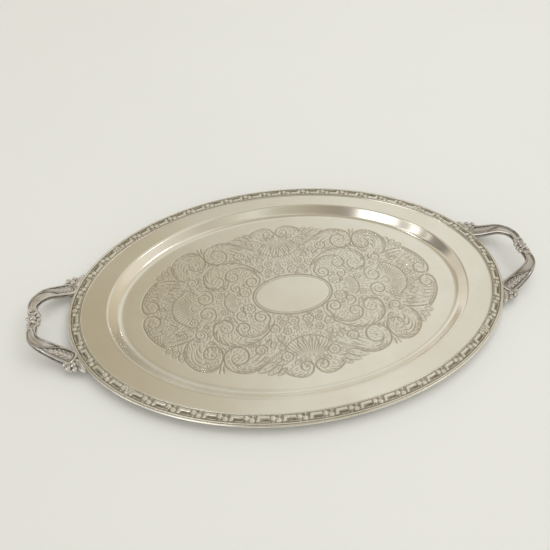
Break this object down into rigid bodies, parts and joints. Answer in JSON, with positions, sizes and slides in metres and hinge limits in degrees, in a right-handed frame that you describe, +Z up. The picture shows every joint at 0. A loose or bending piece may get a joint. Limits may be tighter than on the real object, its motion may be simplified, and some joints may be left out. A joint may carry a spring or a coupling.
{
  "type": "serving tray",
  "caption": "Oval metal serving tray with a flat well, a level flange, an applied ornamental border and two raised cast handles.",
  "frame": {"origin": "centre of the tray on the surface it stands on", "axes": "+X along the tray's length, +Y across it, +Z up"},
  "size_m": [0.6044, 0.3538, 0.0314],
  "materials": {
    "plated_sheet": "polished silver plate over sheet, lightly hazed by use",
    "plated_wire": "polished silver plate",
    "plated_border": "silver plate with dark oxide in the recesses",
    "plated_casting": "silver plate over a casting, oxide in the recesses"
  },
  "bodies": {
    "root": {"tray_body": "plated_sheet", "edge_wire": "plated_wire", "inner_bead": "plated_wire", "border_near": "plated_border", "border_far": "plated_border", "border_left": "plated_border", "border_right": "plated_border", "left_handle_near_arm": "plated_casting", "left_handle_far_arm": "plated_casting", "left_handle_knop": "plated_casting", "left_handle_near_shell": "plated_casting", "left_handle_far_shell": "plated_casting", "right_handle_near_arm": "plated_casting", "right_handle_far_arm": "plated_casting", "right_handle_knop": "plated_casting", "right_handle_near_shell": "plated_casting", "right_handle_far_shell": "plated_casting"}
  },
  "joints": []
}
